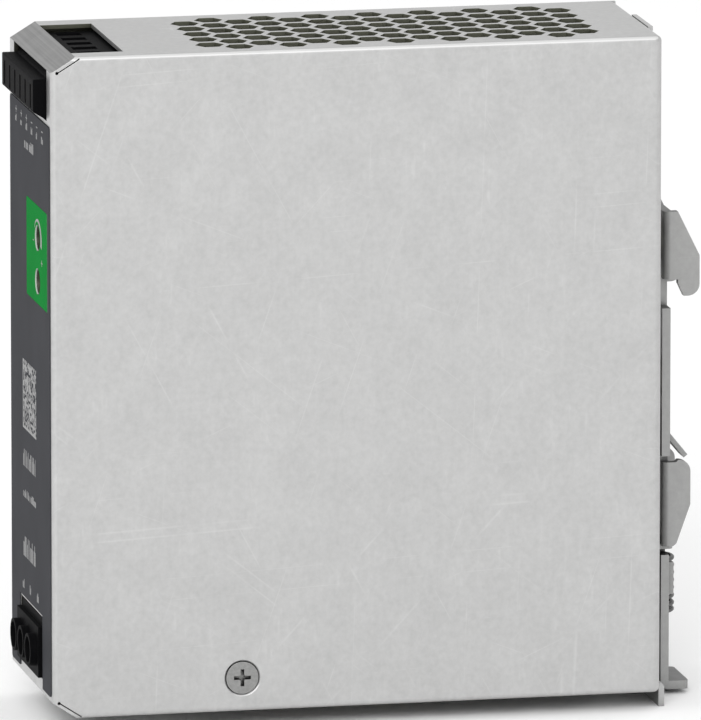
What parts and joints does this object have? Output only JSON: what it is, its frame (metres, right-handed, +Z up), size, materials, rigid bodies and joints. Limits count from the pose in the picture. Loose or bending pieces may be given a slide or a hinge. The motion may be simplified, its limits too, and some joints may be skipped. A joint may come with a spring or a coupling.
{
  "type": "din rail power supply",
  "caption": "Slim box-shaped power supply in a sheet metal case, with terminals at the front, vents in the top and a sprung clip on the back that grips a 35 mm mounting rail.",
  "frame": {"origin": "middle of the 35 mm mounting rail's front face, where the clip holds it", "axes": "+X to the right seen from behind the terminals' side (the plain side panel), +Y from the front face towards the wall, +Z up along the case"},
  "size_m": [0.04, 0.1275, 0.1274],
  "materials": {
    "case_steel": "satin zinc-coated sheet",
    "clip_steel": "dull zinc plate",
    "screw_steel": "zinc plated",
    "spring_steel": "oiled spring wire",
    "label_film": "matt printed film",
    "green_film": "matt printed film",
    "black_plastic": "moulded polyamide",
    "terminal_copper": "tin plated copper alloy",
    "board_green": "solder mask",
    "liner_film": "insulating film",
    "trim_plastic": "moulded",
    "rotor_plastic": "moulded",
    "lamp_plastic": "diffused epoxy",
    "ferrite": "ferrite",
    "winding_copper": "enamelled copper",
    "winding_tape": "polyester tape",
    "bobbin_plastic": "phenolic",
    "film_capacitor": "boxed film capacitor",
    "ceramic_blue": "dipped disc",
    "capacitor_sleeve": "shrink sleeve",
    "fuse_ceramic": "ceramic tube",
    "heatsink_aluminium": "mill finish",
    "chip_plastic": "moulded epoxy",
    "standoff_steel": "zinc plated"
  },
  "bodies": {
    "unit": {"housing_shell": "case_steel", "side_cover": "case_steel", "tie_bracket": "clip_steel", "cover_screws": "screw_steel", "side_screw": "screw_steel", "insulating_sheet": "liner_film", "cover_liner": "liner_film", "front_label": "label_film", "adjustment_label": "green_film", "output_terminal_block": "black_plastic", "output_clamps": "spring_steel", "output_contacts": "terminal_copper", "output_board": "board_green", "input_terminal_block": "black_plastic", "input_contacts": "terminal_copper", "input_board": "board_green", "trimmer_body": "trim_plastic", "status_lamp": "lamp_plastic", "control_board": "board_green", "main_board": "board_green", "board_standoffs": "standoff_steel", "board_screws": "screw_steel", "choke_core": "ferrite", "choke_windings": "winding_copper", "line_capacitor": "film_capacitor", "safety_capacitors": "ceramic_blue", "fuse": "fuse_ceramic", "fuse_clips": "terminal_copper", "varistor": "ceramic_blue", "bulk_capacitor": "capacitor_sleeve", "bridge_rectifier": "chip_plastic", "primary_heatsink": "heatsink_aluminium", "switching_transistor": "chip_plastic", "transistor_clip": "spring_steel", "transformer_core": "ferrite", "transformer_bobbin": "bobbin_plastic", "transformer_winding": "winding_tape", "output_heatsink": "heatsink_aluminium", "output_rectifier": "chip_plastic", "output_capacitors": "capacitor_sleeve", "output_inductor_core": "ferrite", "output_inductor_winding": "winding_copper", "optocouplers": "chip_plastic", "control_chip": "chip_plastic", "rail_bracket": "clip_steel", "bracket_screws": "screw_steel", "bracket_spacers": "standoff_steel", "bracket_nuts": "standoff_steel", "latch_guide": "clip_steel", "guide_rivets": "standoff_steel", "latch_spring": "spring_steel"},
    "trimmer": {"trimmer_rotor": "rotor_plastic"},
    "latch": {"latch_slider": "clip_steel"},
    "clamp_screw_1": {"input_screw_1": "screw_steel"},
    "clamp_cage_1": {"input_cage_1": "screw_steel"},
    "clamp_screw_2": {"input_screw_2": "screw_steel"},
    "clamp_cage_2": {"input_cage_2": "screw_steel"},
    "clamp_screw_3": {"input_screw_3": "screw_steel"},
    "clamp_cage_3": {"input_cage_3": "screw_steel"}
  },
  "joints": [
    {"name": "latch_slide", "type": "slide", "parent": "unit", "child": "latch", "axis": [0, 0, -1], "range_m": [0, 0.004], "stiffness_N_per_m": 2500, "springref_m": -0.003, "deforming": ["latch_spring"]},
    {"name": "trimmer_turn", "type": "hinge", "parent": "unit", "child": "trimmer", "pos_m": [0.00785, -0.1175, 0.02995], "axis": [0, 1, 0], "range_deg": [-130, 130]},
    {"name": "clamp_cage_1_slide", "type": "slide", "parent": "unit", "child": "clamp_cage_1", "axis": [0, -1, 0], "range_m": [0, 0.0022]},
    {"name": "clamp_screw_1_turn", "type": "hinge", "parent": "unit", "child": "clamp_screw_1", "pos_m": [-0.007, -0.1179, -0.04765], "axis": [0, 1, 0], "range_deg": [0, 1132]},
    {"name": "clamp_cage_2_slide", "type": "slide", "parent": "unit", "child": "clamp_cage_2", "axis": [0, -1, 0], "range_m": [0, 0.0022]},
    {"name": "clamp_screw_2_turn", "type": "hinge", "parent": "unit", "child": "clamp_screw_2", "pos_m": [0, -0.1179, -0.04765], "axis": [0, 1, 0], "range_deg": [0, 1132]},
    {"name": "clamp_cage_3_slide", "type": "slide", "parent": "unit", "child": "clamp_cage_3", "axis": [0, -1, 0], "range_m": [0, 0.0022]},
    {"name": "clamp_screw_3_turn", "type": "hinge", "parent": "unit", "child": "clamp_screw_3", "pos_m": [0.007, -0.1179, -0.04765], "axis": [0, 1, 0], "range_deg": [0, 1132]}
  ],
  "couplings": [
    {"joint": "clamp_screw_1_turn", "follows": "clamp_cage_1_slide", "rad_per_m": 8976},
    {"joint": "clamp_screw_2_turn", "follows": "clamp_cage_2_slide", "rad_per_m": 8976},
    {"joint": "clamp_screw_3_turn", "follows": "clamp_cage_3_slide", "rad_per_m": 8976}
  ]
}
